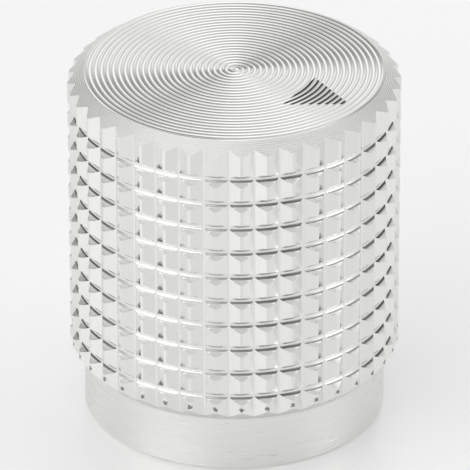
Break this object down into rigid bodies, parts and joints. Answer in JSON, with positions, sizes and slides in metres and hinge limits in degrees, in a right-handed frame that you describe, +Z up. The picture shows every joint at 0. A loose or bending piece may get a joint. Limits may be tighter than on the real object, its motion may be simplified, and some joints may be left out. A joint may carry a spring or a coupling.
{
  "type": "control knob",
  "caption": "Turned aluminium control knob with a knurl cut into studs by ring grooves, a ringed top with a pointer triangle, and a shaft bore with a grub screw.",
  "frame": {"origin": "centre of the base of the collar, on the turning axis", "axes": "+Z up the turning axis towards the ringed top face, +X along the pointer mark, grub screw on the -X side"},
  "size_m": [0.0152, 0.0152, 0.0172],
  "materials": {
    "turned_aluminium": "bright turned, satin",
    "blackened_steel": "black oxide, satin",
    "black_lacquer": "satin black lacquer"
  },
  "bodies": {
    "root": {"knob_body": "turned_aluminium", "grub_screw": "blackened_steel", "pointer_lacquer": "black_lacquer"}
  },
  "joints": []
}
